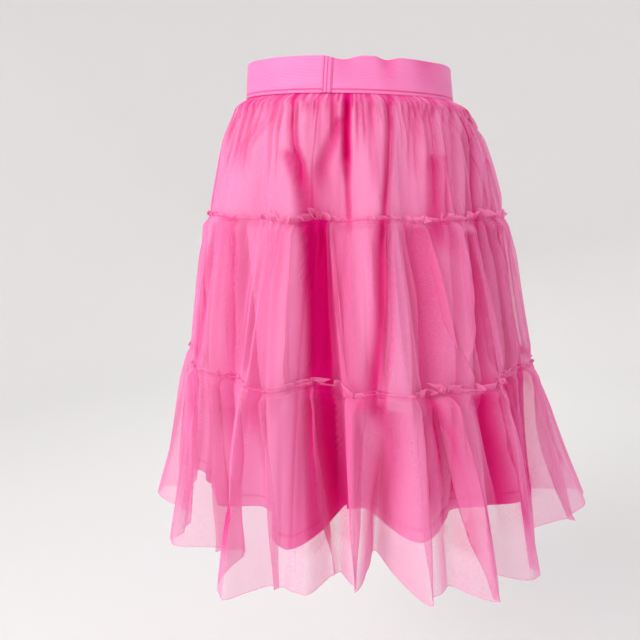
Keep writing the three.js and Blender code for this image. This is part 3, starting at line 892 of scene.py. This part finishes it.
def lapped(name, cloth, level):
    # Where a point of the cloth comes to lie once the laps are folded: its angle, how far off it stands,
    # and whether it is in a fold
    habit = lapHabit
    angle = cloth + 0 * level
    out, folded = np.zeros_like(angle), np.zeros_like(angle)
    opened = ease((habit["opens"] - level) / habit["openOver"])
    ends = {"topLevel": tiers[name]["seam"], "endLevel": tiers[name]["next"] or tulleHem}
    for row in tierLaps[name]:
        lap = ends | dict(zip(lapColumns, row))
        down = np.clip((lap["topLevel"] - level) / (lap["topLevel"] - lap["endLevel"]), 0, 1)
        middle = lap["topAngle"] + (lap["endAngle"] - lap["topAngle"]) * down
        takes = lap["takesTop"] + (lap["takesEnd"] - lap["takesTop"]) * down
        share = np.clip(turned(cloth - middle) / takes, -1, 1)
        on = ease((lap["topLevel"] + habit["start"] - level) / habit["grow"])
        slide = lap["lap"] * takes * np.sin(np.pi * share) * on
        angle = angle - slide * (1 - habit["openLess"] * opened)
        stand = lap["stand"] * (1 - lap["side"] * np.sin(np.pi * share)) * np.sqrt(np.cos(np.pi * share / 2))
        out = out + stand * on * (1 + habit["openStand"] * opened)
        inside = ease((habit["inside"] - abs(share)) / habit["soft"])
        folded = np.maximum(folded, inside * min(lap["stand"] / habit["full"], 1) * on)
    return angle, out, folded


def netHemDrop(cloth, level):
    ripple = netHem["ripple"] * np.cos(np.radians(cloth) * netHem["ripples"])
    dip = netHem["dip"] * bell(turned(cloth - netHem["dipAngle"]), netHem["dipSpread"])
    drop = softNoise(cloth, 0, *netHem["waves"]) - ripple - dip
    return drop * ease((netHem["start"] - level) / netHem["grow"])


def tierPoints(name, cloth, level, extra):
    # A tier's points, and marks for its painted shade and how dense the net is there
    tier, first, last = tiers[name], name == "tierOne", tiers[name]["next"] is None
    angle, out, folded = lapped(name, cloth, level)
    reach = layerReach(tulleSections, tulleHemFolds, angle, level)
    fall = tier["seam"] - level
    top = tier["seam"] + drape["gatherRise"]
    gathers = scatteredGathers(tier["seed"], tier["gathers"], top, *tierGathers)
    small, gatherShadeAndCover = creased(gathers, cloth, level, reach)
    if first:
        fine, gatherShadeAndCover = creased(bandGathers, angle, level, reach)
        small = drape["fineShare"] * fine + drape["coarseShare"] * small
    else:
        small = small * bunching(name, cloth)
    puffed = 1 - drape["puffLoss"] * ease((fall / tier["length"] - drape["puffTop"]) / (1 - drape["puffTop"]))
    puff = tier["puff"] * ease(fall / drape["puffStart"]) * puffed
    # Near the next seam the net lies close again
    below = 1 if last else ease((level - tier["next"]) / drape["nextSeam"])
    drawn = 0 if last else drape["drawn"] * bell(level - tier["next"], drape["drawnWidth"])
    loose = drape["lapAtSeam"] + (1 - drape["lapAtSeam"]) * below
    valleys, netShade = creased(netCreases.get(name, ()), angle, level, reach)
    waves = softNoise(cloth, level, *tier["waves"]) * ease(fall / drape["waveStart"]) * below
    reach = reach + puff + small + waves + valleys * (1 - folded)
    reach = reach + out * ease((fall + drape["lapStart"]) / drape["lapGrow"]) * loose - drawn
    inner, under = liningSurface(angle, np.maximum(level, liningHem))
    inner = inner + drape["clear"]
    overLining = level > liningHem - drape["overHem"]
    reach = np.where(overLining, np.maximum(reach, inner), reach)
    # Deep folds go through both layers: there the net falls in with the lining
    fallsIn = under * (1 - folded) * ease((level - liningHem) / drape["fallsHem"])
    fallsIn = fallsIn * ease(fall / drape["fallsSeam"]) * below
    reach = reach - np.clip(drape["fallsBy"] * (reach - inner), 0, drape["fallsMost"]) * fallsIn
    # Painted shade on the net: the lining's painted shade behind it and the net's own valleys, fading out
    # below the lining's hem, darker in gathers and lighter on lapped folds as painted light
    backed = ease((level - liningHem + drape["overHem"]) / (2 * drape["overHem"]))
    netShade = np.maximum(under ** drape["underCurve"], netShade) * backed
    paintedShade = 1 - (1 - drape["gatherShade"] * gatherShadeAndCover) * (1 - netShade * (1 - drape["lapLight"] * folded))
    edge = drape["edgeDense"] * bell(level - tulleHem, drape["edgeWidth"]) if last else np.zeros_like(reach)
    marks = {"paintedShade": paintedShade, "dense": 1 + drape["gatherDense"] * gatherShadeAndCover + edge}
    if first:
        reach = pinned(angle, level, reach, band["wall"] / 2 + 2 * seamGap)
    else:
        reach = reach + drape["heading"] * np.clip(-fall / drape["headingOver"], 0, 1)
    level = level + seamShift(angle, level)
    if last:
        level = level - netHemDrop(cloth, level)
    section = sectionAt(tulleSections, np.minimum(level, tulleSections["level"][0]))
    return placed(angle, reach + extra, level, section), marks


def tierPiece(name):
    tier = tiers[name]
    levels = levelRows(tier["rows"])

    def place(u, v):
        row = np.rint(v * (len(levels) - 1)).astype(int)
        return tierPoints(name, -90 + 360 * u, levels[row], 0)

    piece = wrappedGrid(name, tier["columns"], len(levels) - 1, place)
    return dressed(piece, "tulle", "tulle", *tier["nodes"])


frill = {
    "columns": 1900, "rows": 8, "height": 8, "out": 0.6, "ruffles": (61, 83, 107, 131, 157, 181), "seed": 5,
    "slide": 0.3, "slideMore": 0.75, "flare": 0.7, "flareMore": 1.3, "waveMore": 2.2, "wave": 0.5,
    "least": 0.4, "rise": 0.32, "riseMore": 0.34, "riseWave": 0.45, "sunk": 1.2,
    "footShade": 0.6, "clothShade": 0.4, "light": 0.15, "dense": 1.1, "edgeDense": 1.2, "edgeCurve": 6,
}


def seamFrill(name):
    # The raw edge turned up over the stitch line: nearly flat, and ruffled where the gathers bunch
    seam, seed = tiers[name]["seam"], tiers[name]["seed"] + frill["seed"]

    def place(u, v):
        cloth = -90 + 360 * u
        share = 1 - v
        more = bunching(name, cloth)
        wave, sway, ripple = (softNoise(cloth, 0, 1, seed + i, frill["ruffles"]) for i in range(3))
        slide = (frill["slide"] + frill["slideMore"] * more) * sway * share
        points, marks = tierPoints(name, cloth + slide, np.full_like(cloth, seam), frill["out"])
        flare = more * (frill["flareMore"] + frill["waveMore"] * wave) + frill["wave"] * wave
        flare = np.maximum(frill["flare"] + flare * share, frill["least"])
        rise = share * frill["height"] * (frill["rise"] + frill["riseMore"] * more)
        points = points + radialOut(points) * (flare * mm)[..., None]
        points[..., 2] += (rise * (1 + frill["riseWave"] * ripple) - frill["sunk"]) * mm
        # Painted shade at the frill's foot by the stitch line and where the net under it is shaded, and
        # painted light where the gathers bunch
        paintedShade = frill["footShade"] * v**2 + frill["clothShade"] * marks["paintedShade"] - frill["light"] * more
        dense = frill["dense"] + frill["edgeDense"] * share ** frill["edgeCurve"]
        return points, {"paintedShade": np.clip(paintedShade, 0, 1), "dense": dense}

    piece = wrappedGrid(name + "Frill", frill["columns"], frill["rows"], place)
    return dressed(piece, "tulle", "tulle")


def seamStitches(name):
    cloth = np.linspace(-90, 270, 4000)
    seam = np.full_like(cloth, tiers[name]["seam"])
    line = tierPoints(name, cloth, seam, stitchKinds["seam"][-1])[0]
    return stitchRun(name + "Stitches", line, "seam", "tulle")


waistband = waistbandPiece()
joinStrip = joinPiece()
bandThreads = [bandStitches(), *joinStitches()]
print("waistband made")
liningCloth = liningPiece()
liningThreads = [liningHemStitches()]
print("lining made")
tierCloths = {name: tierPiece(name) for name in tiers}
frills = {name: seamFrill(name) for name in ("tierTwo", "tierThree")}
threads = {name: seamStitches(name) for name in ("tierTwo", "tierThree")}
print("tulle tiers made")

studio = {
    "floor": -1.05, "radius": 3.4, "bend": 1.1, "wall": 3.2, "colour": (0.83, 0.82, 0.815, 1),
    "roughness": 0.9, "sky": 0.55, "skyColour": (0.97, 0.98, 1, 1), "aim": (0, 0, -0.28),
}
lights = {  # place, size, power, colour
    "key": ((-1.9, -1.75, 1.3), 1.2, 43, (1, 0.98, 0.985)),
    "fill": ((1.9, -1.7, 0.2), 1.8, 5, (1, 1, 1)),
    "top": ((0.2, 0.3, 2.3), 1.6, 8, (1, 1, 1)),
    "far": ((0.6, 2.4, 0.9), 1.6, 10, (1, 1, 1)),
}
view = {"down": 12.6, "roll": 2, "place": (-0.04634, -0.85, -0.10658), "lens": 36.56, "film": 36}


def stagePiece():
    # A pale floor that curves up into a wall all round
    flat = studio["radius"] - studio["bend"]
    bent = flat + studio["bend"] * math.pi / 2

    def place(u, v):
        angle = -math.tau * u  # this way round it faces inwards
        way = v * (bent + studio["wall"])
        curve = np.clip((way - flat) / studio["bend"], 0, math.pi / 2)
        rise = np.maximum(way - bent, 0)
        reach = np.minimum(way, flat) + studio["bend"] * np.sin(curve)
        height = studio["floor"] + studio["bend"] * (1 - np.cos(curve)) + rise
        return np.stack((reach * np.sin(angle), -reach * np.cos(angle), height), -1), {}

    piece = wrappedGrid("stage", 96, 60, place)
    paint = Paint("palePaper")
    look = {"Base Color": studio["colour"], "Roughness": studio["roughness"]}
    piece.data.materials.append(paint.finish(look))


def softLight(name, place, size, power, colour):
    # A square area light that faces the middle of the skirt and stays out of the picture
    data = bpy.data.lights.new(name, "AREA")
    data.shape, data.size, data.energy, data.color = "SQUARE", size, power, colour
    light = added(name, data)
    light.location = place
    light.rotation_euler = (Vector(studio["aim"]) - Vector(place)).to_track_quat("-Z", "Y").to_euler()
    light.visible_camera = False


def cameraPiece():
    # The photograph's view
    down, roll = math.radians(view["down"]), math.radians(view["roll"])
    right = np.array((1, 0, 0))
    below = np.array((0, -math.sin(down), -math.cos(down)))
    ahead = np.array((0, math.cos(down), -math.sin(down)))
    turn = np.eye(4)
    turn[:3, 0] = math.cos(roll) * right + math.sin(roll) * below
    turn[:3, 1] = math.sin(roll) * right - math.cos(roll) * below
    turn[:3, 2] = -ahead
    turn[:3, 3] = view["place"]
    data = bpy.data.cameras.new("camera")
    data.lens, data.sensor_width = view["lens"], view["film"]
    camera = added("camera", data)
    camera.matrix_world = Matrix(turn.tolist())
    bpy.context.scene.camera = camera


stagePiece()
for name, light in lights.items():
    softLight(name, *light)
world = bpy.data.worlds.new("studio")
world.use_nodes = True
background = next(n for n in world.node_tree.nodes if n.type == "BACKGROUND")
background.inputs["Color"].default_value = studio["skyColour"]
background.inputs["Strength"].default_value = studio["sky"]
scene = bpy.context.scene
scene.world = world
scene.view_settings.view_transform = "Standard"
scene.view_settings.look = "Medium High Contrast"
scene.cycles.transparent_max_bounces = 32
scene.cycles.max_bounces = 10
scene.cycles.diffuse_bounces = 6
cameraPiece()
print("stage, lights and camera made")
